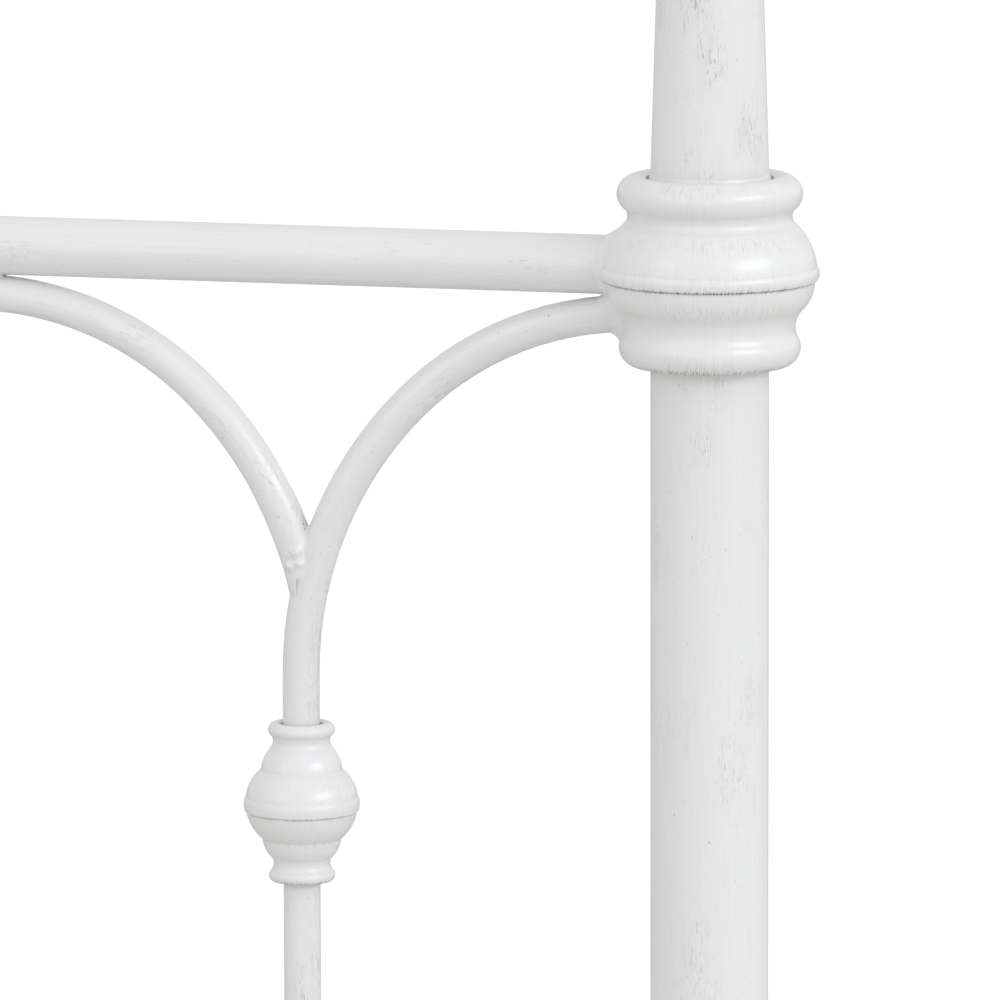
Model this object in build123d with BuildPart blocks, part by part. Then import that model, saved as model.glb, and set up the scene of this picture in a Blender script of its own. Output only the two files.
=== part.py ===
"""Queen-size metal bed frame: two arched tube panels, side rails, slats and a propped centre beam.

Millimetres. +X is the bed's right side, +Y its head, +Z up. The origin is on the floor, in the middle.
Both panels are built by one function, so the footboard is the headboard's pattern at a lower rail height.
"""
import os

from build123d import *

# Overall layout
BAYS = 4                      # arches between the two outer spindles of a panel
ARCH_PITCH = 286.2            # spindle to spindle
END_BAY = 181.4               # outer spindle to post axis
POST_X = END_BAY + ARCH_PITCH * BAYS / 2
PANEL_Y = 1048.0              # panel plane, either side of the middle
PANELS = {"head": (PANEL_Y, 1025.0, 425.0), "foot": (-PANEL_Y, 640.0, 262.0)}   # y, top rail, bottom rail
SIDES = {"left": -1, "right": 1}

# Tubes: outside radius and wall
POST_R, POST_WALL = 25.4, 1.5
RAIL_R, RAIL_WALL = 12.7, 1.5
SPINDLE_R, SPINDLE_WALL = 8.0, 1.2

# Arch: a three-centred curve, tighter over the crown than down the legs
CROWN_R, LEG_R, ARC_SPAN = 142.0, 170.0, 45.0
CROWN_DROP = RAIL_R + SPINDLE_R + 0.05            # crown's centre line below the rail axis
SPRING_DROP = CROWN_DROP + CROWN_R + (LEG_R - CROWN_R) * 0.5 ** 0.5
SPINDLE_TOP_DROP = 106.0                          # straight spindle ends inside the vee of two arches

# Posts
GLIDE_HEIGHT = 6.0
POST_JOINT = 10.0             # butt of lower and upper post, above the rail axis, inside the collar
SPIGOT_BORE_R, SPIGOT_DROP, SPIGOT_RISE = 18.0, 28.0, 12.0   # sleeve inside the joint, below and above it
PLUG_GAP = 0.1                # between a plug and the tube that it sits in
GLIDE_PLUG_TOP, FINIAL_PLUG = 28.0, 16.0
TAPER_START, TAPER_LENGTH = 38.5, 212.0
TAPER_TOP_R = 18.9
KNOT_DROP = 243.0             # knot's groove below the rail axis
CUTTER_BORE = 1.0             # a collar used as a cutter is all but solid

# Side rails, slats and centre beam
LEDGE_Z = 300.0               # slats rest here
ANGLE_WEB, ANGLE_FOOT, ANGLE_T, ANGLE_ROOT_R = 50.0, 38.0, 3.2, 2.0
ANGLE_X = POST_X + 14.2       # outer face of the upright web
ANGLE_END = PANEL_Y - 32.0
BRACKET_T, BRACKET_REACH, BRACKET_HEIGHT, BRACKET_CORNER = 4.0, 95.0, 52.0, 6.0
BOLT_INSET = (45.0, 77.0)     # bolts from the panel plane
BOLT_Z = LEDGE_Z + 30.0
BOLT_R, BOLT_HOLE_R, BOLT_HEAD_R, BOLT_HEAD_T, BOLT_CROWN_R = 4.0, 4.3, 9.5, 4.2, 3.4
NUT_FLATS, NUT_T, THREAD_PAST_NUT, THREAD_GAP = 13.0, 6.5, 3.0, 0.05
SLATS, SLAT_PITCH = 13, 160.0
SLAT_W, SLAT_H, SLAT_WALL, SLAT_LENGTH = 40.0, 20.0, 1.2, 1524.0
BEAM_SIDE, BEAM_WALL, BEAM_LENGTH = 30.0, 1.5, 1970.0
BOX_CORNER = 3.0              # outside corner of the slats' and the beam's box section
LEG_Y = {"head": 480.0, "foot": -480.0}
LEG_TUBE_R, LEG_WALL, LEG_BOTTOM, LEG_PLUG = 12.7, 1.5, 30.0, 12.0
LEG_PLATE, LEG_PLATE_CORNER = (80.0, 40.0, 3.0), 5.0
STEM_R, STEM_BORE_R, STEM_TOP = 5.0, 5.08, 75.0
PAD_R, PAD_T, PAD_CHAMFER = 20.0, 9.0, 3.0


def save(builder, name):
    builder.part.label = name
    export_step(builder.part, f"parts/{name}.step")
    return builder.part


def upright(x, y):
    """Plane for turned profiles: local X is the radius and local Y is height, about the axis at x, y."""
    return Plane(origin=(x, y, 0), x_dir=(1, 0, 0), z_dir=(0, -1, 0))


def turned(x, y, outline):
    """Solid of revolution about the vertical axis at x, y, from a function that draws its outline."""
    with BuildPart() as piece:
        with BuildSketch(upright(x, y)):
            with BuildLine():
                outline()
            make_face()
        revolve(axis=Axis((x, y, 0), (0, 0, 1)))
    return piece


def rod(start, end, radius):
    """Plain cutter along a tube's axis, used to saddle the ends that meet it."""
    run = Vector(*end) - Vector(*start)
    with BuildPart() as cutter:
        with BuildSketch(Plane(origin=start, z_dir=run)):
            Circle(radius)
        extrude(amount=run.length)
    return cutter.part


def tube_section(radius, wall):
    Circle(radius)
    Circle(radius - wall, mode=Mode.SUBTRACT)


# Turned castings -----------------------------------------------------------------------------

def collar_outline(z, bore):
    """Collar round the post: rolled rim, cove, bulge, raised band, groove, lower bulge, cove and lip."""
    Polyline((bore, z - 42.0), (bore, z + 36.5), (27.5, z + 36.5), (27.5, z + 38.7))
    ThreePointArc((27.5, z + 38.7), (39.8, z + 32.0), (36.2, z + 25.3))
    ThreePointArc((36.2, z + 25.3), (35.3, z + 21.8), (37.7, z + 18.2))
    ThreePointArc((37.7, z + 18.2), (43.2, z + 10.0), (45.8, z + 0.9))
    Line((45.8, z + 0.9), (46.2, z + 0.5))
    ThreePointArc((46.2, z + 0.5), (46.9, z - 2.2), (46.1, z - 4.9))
    Polyline((46.1, z - 4.9), (44.3, z - 5.3), (44.9, z - 6.0))
    ThreePointArc((44.9, z - 6.0), (43.9, z - 11.5), (39.9, z - 17.6))
    ThreePointArc((39.9, z - 17.6), (36.7, z - 24.6), (38.2, z - 30.6))
    ThreePointArc((38.2, z - 30.6), (38.7, z - 35.6), (33.5, z - 41.6))
    Polyline((33.5, z - 41.6), (31.0, z - 42.0), (bore, z - 42.0))


def knot_outline(z, bore):
    """Knot on a spindle, about its groove: rim, neck, two rounded steps, band, groove, steps and lip."""
    Polyline((bore, z - 30.4), (bore, z + 37.2), (9.4, z + 37.2), (9.4, z + 38.4))
    ThreePointArc((9.4, z + 38.4), (14.5, z + 36.0), (12.9, z + 33.2))
    ThreePointArc((12.9, z + 33.2), (12.4, z + 31.0), (13.2, z + 28.4))
    ThreePointArc((13.2, z + 28.4), (16.6, z + 22.8), (17.7, z + 18.4))
    ThreePointArc((17.7, z + 18.4), (22.2, z + 13.2), (24.3, z + 6.6))
    Line((24.3, z + 6.6), (24.7, z + 6.2))
    ThreePointArc((24.7, z + 6.2), (25.2, z + 3.4), (24.8, z + 0.5))
    Polyline((24.8, z + 0.5), (23.5, z + 0.1), (24.0, z - 0.5))
    ThreePointArc((24.0, z - 0.5), (21.8, z - 6.4), (17.3, z - 11.8))
    Line((17.3, z - 11.8), (17.1, z - 12.2))
    ThreePointArc((17.1, z - 12.2), (15.8, z - 16.6), (12.9, z - 20.4))
    ThreePointArc((12.9, z - 20.4), (12.3, z - 22.8), (13.4, z - 25.8))
    ThreePointArc((13.4, z - 25.8), (14.4, z - 28.2), (13.0, z - 30.4))
    Line((13.0, z - 30.4), (bore, z - 30.4))


def finial_outline(z):
    """Ball finial with a plug that drops into the open top of the tapered post."""
    plug, plug_end = TAPER_TOP_R - POST_WALL - PLUG_GAP, z - FINIAL_PLUG
    Polyline((0, plug_end), (plug, plug_end), (plug, z), (20.0, z))
    ThreePointArc((20.0, z), (23.0, z + 3.6), (20.0, z + 7.2))
    ThreePointArc((20.0, z + 7.2), (12.6, z + 11.0), (10.0, z + 18.0))
    ThreePointArc((10.0, z + 18.0), (14.4, z + 20.6), (11.0, z + 23.2))
    ThreePointArc((11.0, z + 23.2), (25.0, z + 45.6), (6.5, z + 69.4))
    ThreePointArc((6.5, z + 69.4), (7.2, z + 74.6), (3.0, z + 77.6))
    Polyline((3.0, z + 77.6), (0, z + 77.6), (0, plug_end))


def collar(x, y, z, bore):
    return turned(x, y, lambda: collar_outline(z, bore))


# Post pieces ---------------------------------------------------------------------------------

def lower_post(x, y, rail_z):
    with BuildPart() as piece:
        with BuildSketch(Plane((x, y, GLIDE_HEIGHT))):
            tube_section(POST_R, POST_WALL)
        extrude(amount=rail_z + POST_JOINT - GLIDE_HEIGHT)
    return piece


def upper_post_outline(z):
    """Tapered tube, with a spigot that drops into the lower post."""
    top = z + TAPER_START + TAPER_LENGTH
    joint, sleeve_top, sleeve_bottom = z + POST_JOINT, z + POST_JOINT + SPIGOT_RISE, z - SPIGOT_DROP
    bore_r = POST_R - POST_WALL
    spigot_r = bore_r - PLUG_GAP
    Polyline(
        (POST_R, joint), (POST_R, z + TAPER_START), (TAPER_TOP_R, top), (TAPER_TOP_R - POST_WALL, top),
        (bore_r, z + TAPER_START), (bore_r, sleeve_top), (SPIGOT_BORE_R, sleeve_top),
        (SPIGOT_BORE_R, sleeve_bottom), (spigot_r, sleeve_bottom), (spigot_r, joint), (POST_R, joint))


def glide_outline():
    """Plastic glide: a rounded foot under the tube and a plug inside it."""
    plug = POST_R - POST_WALL - PLUG_GAP
    Polyline((0, 0), (POST_R - 3.0, 0))
    ThreePointArc((POST_R - 3.0, 0), (POST_R - 0.8, 1.0), (POST_R, 3.0))
    Polyline((POST_R, 3.0), (POST_R, GLIDE_HEIGHT), (plug, GLIDE_HEIGHT),
             (plug, GLIDE_PLUG_TOP), (0, GLIDE_PLUG_TOP), (0, 0))


# Panel tubes ---------------------------------------------------------------------------------

def cross_rail(y, z, cutters):
    with BuildPart() as piece:
        with BuildSketch(Plane(origin=(-POST_X, y, z), z_dir=(1, 0, 0))):
            tube_section(RAIL_R, RAIL_WALL)
        extrude(amount=2 * POST_X)
        add(cutters, mode=Mode.SUBTRACT)
    return piece


def cane_leg(side, rail_z, bottom_z):
    """Draws a cane's centre line from the bottom rail to the end of the leg's arc, and returns that arc."""
    foot_x = side * (POST_X - END_BAY)
    spring_z = rail_z - SPRING_DROP
    Line((foot_x, bottom_z), (foot_x, spring_z))
    return JernArc((foot_x, spring_z), (0, 1), LEG_R, -side * ARC_SPAN)


def cane(y, side, rail_z, bottom_z, cutters):
    """Outer spindle and half arch in one bent tube, from the bottom rail into the collar."""
    with BuildPart() as piece:
        with BuildLine(upright(0, y)) as path:
            leg = cane_leg(side, rail_z, bottom_z)
            JernArc(leg @ 1, leg % 1, CROWN_R, -side * ARC_SPAN)
        with BuildSketch(Plane(origin=path.wire() @ 0, z_dir=path.wire() % 0)):
            tube_section(SPINDLE_R, SPINDLE_WALL)
        sweep()
        add(cutters, mode=Mode.SUBTRACT)
    return piece


def arch(y, centre_x, rail_z, cutters):
    """Full arch between two spindles; each leg is cut off square past the spindle, then saddled to it."""
    crown_z = rail_z - CROWN_DROP
    reach = ARCH_PITCH / 2
    with BuildPart() as piece:
        with BuildLine(upright(0, y)) as path:
            legs = []
            for side in (-1, 1):
                crown = JernArc((centre_x, crown_z), (side, 0), CROWN_R, -side * ARC_SPAN)
                legs.append(JernArc(crown @ 1, crown % 1, LEG_R, -side * ARC_SPAN))
        with BuildSketch(Plane(origin=legs[0] @ 1, z_dir=-(legs[0] % 1))):
            tube_section(SPINDLE_R, SPINDLE_WALL)
        sweep(path=path.wire())
        with BuildSketch(Plane((centre_x, y, 0))):
            Rectangle(2 * reach, 4 * SPINDLE_R)
        extrude(amount=rail_z, mode=Mode.INTERSECT)
        add(cutters, mode=Mode.SUBTRACT)
    return piece


def spindle(x, y, top_z, bottom_z, cutters):
    with BuildPart() as piece:
        with BuildSketch(Plane((x, y, bottom_z))):
            tube_section(SPINDLE_R, SPINDLE_WALL)
        extrude(amount=top_z - bottom_z)
        add(cutters, mode=Mode.SUBTRACT)
    return piece


def solid_cane(y, side, rail_z, bottom_z):
    """The cane's outside as one solid, to saddle the arch that lands on it."""
    with BuildPart() as cutter:
        with BuildLine(upright(0, y)) as path:
            cane_leg(side, rail_z, bottom_z)
        with BuildSketch(Plane(origin=path.wire() @ 0, z_dir=path.wire() % 0)):
            Circle(SPINDLE_R)
        sweep()
    return cutter.part


def build_panel(name, y, rail_z, bottom_z):
    posts = [rod((side * POST_X, y, 0), (side * POST_X, y, rail_z + TAPER_START), POST_R)
             for side in SIDES.values()]
    collars = [collar(side * POST_X, y, rail_z, CUTTER_BORE).part for side in SIDES.values()]
    bottom = rod((-POST_X, y, bottom_z), (POST_X, y, bottom_z), RAIL_R)
    for side_name, side in SIDES.items():
        x = side * POST_X
        tag = f"{name}_{side_name}"
        save(lower_post(x, y, rail_z), f"lower_post_{tag}")
        save(turned(x, y, lambda: upper_post_outline(rail_z)), f"upper_post_{tag}")
        save(collar(x, y, rail_z, POST_R), f"collar_{tag}")
        save(turned(x, y, lambda: finial_outline(rail_z + TAPER_START + TAPER_LENGTH)), f"finial_{tag}")
        save(cane(y, side, rail_z, bottom_z, collars + posts + [bottom]), f"cane_{tag}")
    save(cross_rail(y, rail_z, collars + posts), f"top_rail_{name}")
    save(cross_rail(y, bottom_z, posts), f"bottom_rail_{name}")

    spindle_x = [(index - BAYS / 2) * ARCH_PITCH for index in range(BAYS + 1)]
    spindle_top = rail_z - SPINDLE_TOP_DROP
    for index, x in enumerate(spindle_x[1:-1], 1):
        save(spindle(x, y, spindle_top, bottom_z, bottom), f"spindle_{name}_{index}")
    for index, x in enumerate(spindle_x, 1):
        save(turned(x, y, lambda: knot_outline(rail_z - KNOT_DROP, SPINDLE_R)), f"knot_{name}_{index}")
    landings = [rod((x, y, bottom_z), (x, y, spindle_top), SPINDLE_R) for x in spindle_x[1:-1]]
    landings += [solid_cane(y, side, rail_z, bottom_z) for side in SIDES.values()]
    for index in range(BAYS):
        middle = (spindle_x[index] + spindle_x[index + 1]) / 2
        save(arch(y, middle, rail_z, landings), f"arch_{name}_{index + 1}")


# Mattress base -------------------------------------------------------------------------------

def bolt_places(side, end):
    """Bolt axes at one corner, as planes that look outwards along X."""
    outward = (side, 0, 0)
    return [Plane(origin=(side * ANGLE_X, end * (PANEL_Y - inset), BOLT_Z), x_dir=(0, 1, 0), z_dir=outward)
            for inset in BOLT_INSET]


def corner_planes():
    return [plane for side in (-1, 1) for end in (-1, 1) for plane in bolt_places(side, end)]


def side_rail(side):
    inner = ANGLE_X - ANGLE_T
    bottom = LEDGE_Z - ANGLE_T
    with BuildPart() as piece:
        with BuildSketch(Plane(origin=(0, ANGLE_END, 0), x_dir=(1, 0, 0), z_dir=(0, -1, 0))):
            with BuildLine():
                Polyline(
                    (side * ANGLE_X, bottom), (side * ANGLE_X, bottom + ANGLE_WEB),
                    (side * inner, bottom + ANGLE_WEB), (side * inner, LEDGE_Z),
                    (side * (ANGLE_X - ANGLE_FOOT), LEDGE_Z), (side * (ANGLE_X - ANGLE_FOOT), bottom),
                    (side * ANGLE_X, bottom))
            make_face()
        extrude(amount=2 * ANGLE_END)
        fillet(piece.edges().filter_by(Axis.Y).sort_by_distance((side * inner, 0, LEDGE_Z))[0], ANGLE_ROOT_R)
        for end in (-1, 1):
            with Locations(*bolt_places(side, end)):
                Hole(BOLT_HOLE_R, depth=2 * ANGLE_T)
    return piece


def brackets():
    """Four flat tabs, saddled to the posts, that the side rails bolt to."""
    middle_z = LEDGE_Z - ANGLE_T + ANGLE_WEB / 2
    with BuildPart() as pieces:
        for side in (-1, 1):
            for end in (-1, 1):
                flank = Plane(origin=(side * ANGLE_X, end * (PANEL_Y - BRACKET_REACH / 2), middle_z),
                              x_dir=(0, 1, 0), z_dir=(side, 0, 0))
                with BuildSketch(flank):
                    RectangleRounded(BRACKET_REACH, BRACKET_HEIGHT, BRACKET_CORNER)
                extrude(amount=BRACKET_T)
        with Locations(*[plane.offset(BRACKET_T) for plane in corner_planes()]):
            Hole(BOLT_HOLE_R, depth=2 * BRACKET_T)
        for side in (-1, 1):
            for end in (-1, 1):
                post_foot = (side * POST_X, end * PANEL_Y, 0)
                post_over = (side * POST_X, end * PANEL_Y, LEDGE_Z + 2 * ANGLE_WEB)
                add(rod(post_foot, post_over, POST_R), mode=Mode.SUBTRACT)
    return pieces


def bolts():
    """Round-head bolts, heads outside and threads towards the mattress."""
    reach = ANGLE_T + NUT_T + THREAD_PAST_NUT
    with BuildPart() as pieces:
        for plane in corner_planes():
            with BuildSketch(plane.offset(BRACKET_T)):
                Circle(BOLT_HEAD_R)
            extrude(amount=BOLT_HEAD_T)
            outermost = -1 if plane.origin.X > 0 else 0
            fillet(pieces.edges(Select.LAST).filter_by(GeomType.CIRCLE).group_by(Axis.X)[outermost], BOLT_CROWN_R)
            with BuildSketch(plane.offset(BRACKET_T)):
                Circle(BOLT_R)
            extrude(amount=-(BRACKET_T + reach))
    return pieces


def nuts():
    with BuildPart() as pieces:
        for plane in corner_planes():
            with BuildSketch(plane.offset(-ANGLE_T)):
                RegularPolygon(NUT_FLATS / 2, 6, major_radius=False)
                Circle(BOLT_R + THREAD_GAP, mode=Mode.SUBTRACT)
            extrude(amount=-NUT_T)
    return pieces


def slats():
    with BuildPart() as pieces:
        for index in range(SLATS):
            y = (index - (SLATS - 1) / 2) * SLAT_PITCH
            with BuildSketch(Plane(origin=(-SLAT_LENGTH / 2, y, LEDGE_Z + SLAT_H / 2),
                                   x_dir=(0, 1, 0), z_dir=(1, 0, 0))):
                RectangleRounded(SLAT_W, SLAT_H, BOX_CORNER)
                RectangleRounded(SLAT_W - 2 * SLAT_WALL, SLAT_H - 2 * SLAT_WALL, BOX_CORNER - SLAT_WALL,
                                 mode=Mode.SUBTRACT)
            extrude(amount=SLAT_LENGTH)
    return pieces


def centre_beam():
    with BuildPart() as piece:
        with BuildSketch(Plane(origin=(0, BEAM_LENGTH / 2, LEDGE_Z - BEAM_SIDE / 2), z_dir=(0, -1, 0))):
            RectangleRounded(BEAM_SIDE, BEAM_SIDE, BOX_CORNER)
            RectangleRounded(BEAM_SIDE - 2 * BEAM_WALL, BEAM_SIDE - 2 * BEAM_WALL, BOX_CORNER - BEAM_WALL,
                             mode=Mode.SUBTRACT)
        extrude(amount=BEAM_LENGTH)
    return piece


def centre_leg(y):
    """Prop under the beam: top plate, tube and a plugged lower end with the levelling foot's bore."""
    top = LEDGE_Z - BEAM_SIDE
    with BuildPart() as piece:
        with BuildSketch(Plane((0, y, LEG_BOTTOM))):
            tube_section(LEG_TUBE_R, LEG_WALL)
        extrude(amount=top - LEG_PLATE[2] - LEG_BOTTOM)
        with BuildSketch(Plane((0, y, top - LEG_PLATE[2]))):
            RectangleRounded(LEG_PLATE[1], LEG_PLATE[0], LEG_PLATE_CORNER)
        extrude(amount=LEG_PLATE[2])
        with BuildSketch(Plane((0, y, LEG_BOTTOM))):
            tube_section(LEG_TUBE_R - LEG_WALL / 2, LEG_TUBE_R - LEG_WALL / 2 - STEM_BORE_R)
        extrude(amount=LEG_PLUG)
    return piece


def levelling_foot(y):
    """Round pad on a threaded stem, the stem drawn as a plain cylinder."""
    with BuildPart() as piece:
        with BuildSketch(Plane((0, y, 0))):
            Circle(PAD_R)
        extrude(amount=PAD_T)
        chamfer(piece.edges().filter_by(GeomType.CIRCLE).sort_by(Axis.Z)[-1], PAD_CHAMFER)
        with BuildSketch(Plane((0, y, PAD_T))):
            Circle(STEM_R)
        extrude(amount=STEM_TOP - PAD_T)
    return piece


os.makedirs("parts", exist_ok=True)
for panel_name, (panel_y, top_rail_z, bottom_rail_z) in PANELS.items():
    build_panel(panel_name, panel_y, top_rail_z, bottom_rail_z)

with BuildPart() as glides:
    for glide_x in (-POST_X, POST_X):
        for glide_y in (-PANEL_Y, PANEL_Y):
            add(turned(glide_x, glide_y, glide_outline).part)
save(glides, "glides")

for rail_name, rail_side in SIDES.items():
    save(side_rail(rail_side), f"side_rail_{rail_name}")
save(brackets(), "brackets")
save(bolts(), "bolts")
save(nuts(), "nuts")
save(slats(), "slats")
save(centre_beam(), "centre_beam")
for leg_name, leg_y in LEG_Y.items():
    save(centre_leg(leg_y), f"centre_leg_{leg_name}")
    save(levelling_foot(leg_y), f"levelling_foot_{leg_name}")
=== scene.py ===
"""Antique-white metal bed frame: materials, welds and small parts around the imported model, in metres."""
import math

import bpy
from mathutils import Matrix, Vector
from mathutils.bvhtree import BVHTree
from mathutils.kdtree import KDTree


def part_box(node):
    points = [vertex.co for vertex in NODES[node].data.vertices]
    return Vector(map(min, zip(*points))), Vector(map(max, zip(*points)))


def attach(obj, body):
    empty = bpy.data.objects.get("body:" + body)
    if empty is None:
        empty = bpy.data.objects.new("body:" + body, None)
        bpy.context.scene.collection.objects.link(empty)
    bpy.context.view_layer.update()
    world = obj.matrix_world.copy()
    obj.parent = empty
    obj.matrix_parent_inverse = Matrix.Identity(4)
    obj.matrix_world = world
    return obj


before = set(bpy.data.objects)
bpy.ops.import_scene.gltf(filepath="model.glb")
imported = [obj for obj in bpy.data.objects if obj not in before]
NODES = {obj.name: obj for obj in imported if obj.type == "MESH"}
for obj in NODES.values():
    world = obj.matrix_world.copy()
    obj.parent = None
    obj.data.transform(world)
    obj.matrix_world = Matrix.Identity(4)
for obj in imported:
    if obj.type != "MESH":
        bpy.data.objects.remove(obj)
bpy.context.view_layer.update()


# ---- Camera ---------------------------------------------------------------------------------------
# A long lens, from the bed's right and a little above, on the head panel's right-hand collar.
# The post's axis and the top rail's height give the corner that the view is set out from.

def middle(name):
    low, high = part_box(name)
    return (low + high) / 2


HEAD_POST = middle("lower_post_head_right")
HEAD_RAIL_Z = middle("top_rail_head").z
CAMERA_FROM_CORNER = Vector((1.139, -4.8385, 0.669))
CAMERA_TURN, CAMERA_TILT, CAMERA_ROLL = math.radians(14.28), math.radians(8.796), math.radians(-0.12)

camera_data = bpy.data.cameras.new("view_camera")
camera_data.lens = 423.4
camera_data.sensor_width = 36.0
camera_data.clip_start, camera_data.clip_end = 0.05, 400.0
camera = bpy.data.objects.new("view_camera", camera_data)
bpy.context.scene.collection.objects.link(camera)
camera.location = Vector((HEAD_POST.x, HEAD_POST.y, HEAD_RAIL_Z)) + CAMERA_FROM_CORNER
camera.rotation_euler = (
    Matrix.Rotation(CAMERA_TURN, 3, "Z")
    @ Matrix.Rotation(math.pi / 2 - CAMERA_TILT, 3, "X")
    @ Matrix.Rotation(CAMERA_ROLL, 3, "Z")
).to_euler()
bpy.context.scene.camera = camera


# ---- Studio ---------------------------------------------------------------------------------------
# A white floor that runs out of sight, a room that is brighter in front of the bed than behind it, a row of
# three soft lamps on its right and a weak one on its left. The floor throws up less light than a white one.

FLOOR_WHITE, FLOOR_MIRRORED = (1.0, 1.0, 1.0, 1), (0.40, 0.40, 0.39, 1)
FLOOR_PALE, FLOOR_GREY = (0.73, 0.73, 0.70, 1), (0.71, 0.71, 0.68, 1)
FLOOR_LIFT = 0.08
BRIGHT_SIDE = (0.53, -0.70, -0.48)
ROOM_BRIGHT, ROOM_DIM = (1.15, 1.155, 1.20, 1), (0.72, 0.715, 0.70, 1)
LAMPS = (
    ("key_lamp_near", 0.22, 17, (0.94, 0.97, 1.0), 50, 24),
    ("key_lamp_middle", 0.22, 17, (0.94, 0.97, 1.0), 64, 24),
    ("key_lamp_far", 0.20, 17, (0.94, 0.97, 1.0), 78, 24),
    ("fill_lamp", 0.13, 26, (1.0, 0.995, 0.98), -38, 26),
)


def node(tree, kind, inputs=None, **settings):
    """Adds a shader node; an input is a plain value or another node's output socket."""
    made = tree.nodes.new(kind)
    for name, value in settings.items():
        setattr(made, name, value)
    for name, value in (inputs or {}).items():
        if isinstance(value, bpy.types.NodeSocket):
            tree.links.new(value, made.inputs[name])
        else:
            made.inputs[name].default_value = value
    return made


def maths(tree, operation, first, second=0.0, third=0.0, clamp=False):
    return node(tree, "ShaderNodeMath", {0: first, 1: second, 2: third},
                operation=operation, use_clamp=clamp).outputs[0]


def blended(tree, amount, first, second):
    """Colour between two colours; the Mix node's colour sockets are numbers 6, 7 and 2."""
    return node(tree, "ShaderNodeMix", {0: amount, 6: first, 7: second}, data_type="RGBA").outputs[2]


def step(tree, value, low, high):
    """0 below low, 1 above high, smooth between."""
    return node(tree, "ShaderNodeMapRange", {"Value": value, "From Min": low, "From Max": high},
                interpolation_type="SMOOTHSTEP").outputs[0]


def scaled(tree, vector, factors, shift=(0, 0, 0)):
    return node(tree, "ShaderNodeVectorMath", {0: vector, 1: factors, 2: shift},
                operation="MULTIPLY_ADD").outputs[0]


def noise(tree, vector, detail=2.0):
    return node(tree, "ShaderNodeTexNoise", {"Vector": vector, "Scale": 1.0, "Detail": detail}).outputs["Fac"]


def object_place(tree):
    return node(tree, "ShaderNodeTexCoord").outputs["Object"]


def new_material(name):
    """A node material with its Principled BSDF joined to the output."""
    material = bpy.data.materials.new(name)
    material.use_nodes = True
    tree = material.node_tree
    tree.nodes.clear()
    shader = node(tree, "ShaderNodeBsdfPrincipled")
    node(tree, "ShaderNodeOutputMaterial", {"Surface": shader.outputs[0]})
    return material, tree, shader


bpy.ops.object.select_all(action="DESELECT")
bpy.ops.mesh.primitive_plane_add(size=240.0, location=(0, 60, 0))
floor = bpy.context.object
floor.name = "studio_floor"
floor_paint, tree, shader = new_material("studio_floor_white")
mottle = noise(tree, scaled(tree, object_place(tree), (1.5, 1.5, 1.5)))
rays = node(tree, "ShaderNodeLightPath").outputs
floor_colour = blended(tree, mottle, FLOOR_GREY, FLOOR_PALE)
floor_colour = blended(tree, rays["Is Glossy Ray"], floor_colour, FLOOR_MIRRORED)
floor_colour = blended(tree, rays["Is Camera Ray"], floor_colour, FLOOR_WHITE)
tree.links.new(floor_colour, shader.inputs["Base Color"])
shader.inputs["Roughness"].default_value = 1.0
shader.inputs["Specular IOR Level"].default_value = 0.0
shader.inputs["Emission Color"].default_value = FLOOR_WHITE
shader.inputs["Emission Strength"].default_value = FLOOR_LIFT
floor.data.materials.append(floor_paint)

room = bpy.data.worlds.new("studio_room")
room.use_nodes = True
tree = room.node_tree
direction = node(tree, "ShaderNodeTexCoord").outputs["Generated"]
facing = node(tree, "ShaderNodeVectorMath", {0: direction, 1: BRIGHT_SIDE}, operation="DOT_PRODUCT")
brightness = node(tree, "ShaderNodeMapRange", {
    "Value": facing.outputs["Value"], "From Min": -1.0, "From Max": 1.0, "To Min": 0.0, "To Max": 1.0})
screen = tree.nodes["Background"]
tree.links.new(blended(tree, brightness.outputs[0], ROOM_DIM, ROOM_BRIGHT), screen.inputs["Color"])
bpy.context.scene.world = room
bpy.context.scene.view_settings.view_transform = "Standard"

for name, strength, spread, colour, turn, height in LAMPS:
    lamp_data = bpy.data.lights.new(name, "SUN")
    lamp_data.energy = strength
    lamp_data.angle = math.radians(spread)
    lamp_data.color = colour
    lamp = bpy.data.objects.new(name, lamp_data)
    bpy.context.scene.collection.objects.link(lamp)
    lamp.rotation_euler = (math.radians(90 - height), 0, math.radians(turn))


# ---- Distressed paint, first used on the posts ------------------------------------------------------
# Off-white paint over a brown glaze, brushed along each tube, rubbed through in fine broken lines. The glaze
# also carries painted shade, in grooves, corners and clefts and under bends.
# Posts are steel tube, 50.8 across: plain below the collar, tapered above it.

PAINT_LIGHT, PAINT_DULL = (0.808, 0.809, 0.818, 1), (0.751, 0.752, 0.747, 1)
TAN_GLAZE_AND_SHADE, BROWN_GLAZE_AND_SHADE = (0.52, 0.47, 0.38, 1), (0.16, 0.12, 0.085, 1)


def new_group(name, inputs, outputs):
    """A shader node group; inputs are (name, socket kind, default) and outputs (name, socket kind)."""
    tree = bpy.data.node_groups.new(name, "ShaderNodeTree")
    for label, kind, default in inputs:
        socket = tree.interface.new_socket(label, in_out="INPUT", socket_type="NodeSocket" + kind)
        socket.default_value = default
    for label, kind in outputs:
        tree.interface.new_socket(label, in_out="OUTPUT", socket_type="NodeSocket" + kind)
    return tree, tree.nodes.new("NodeGroupInput").outputs, tree.nodes.new("NodeGroupOutput")


def finish_group(tree, end, results):
    for label, socket in results.items():
        tree.links.new(socket, end.inputs[label])


def placed_group(tree, group, inputs):
    made = node(tree, "ShaderNodeGroup", node_tree=group)
    for name, value in inputs.items():
        if isinstance(value, bpy.types.NodeSocket):
            tree.links.new(value, made.inputs[name])
        else:
            made.inputs[name].default_value = value
    return made.outputs
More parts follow.
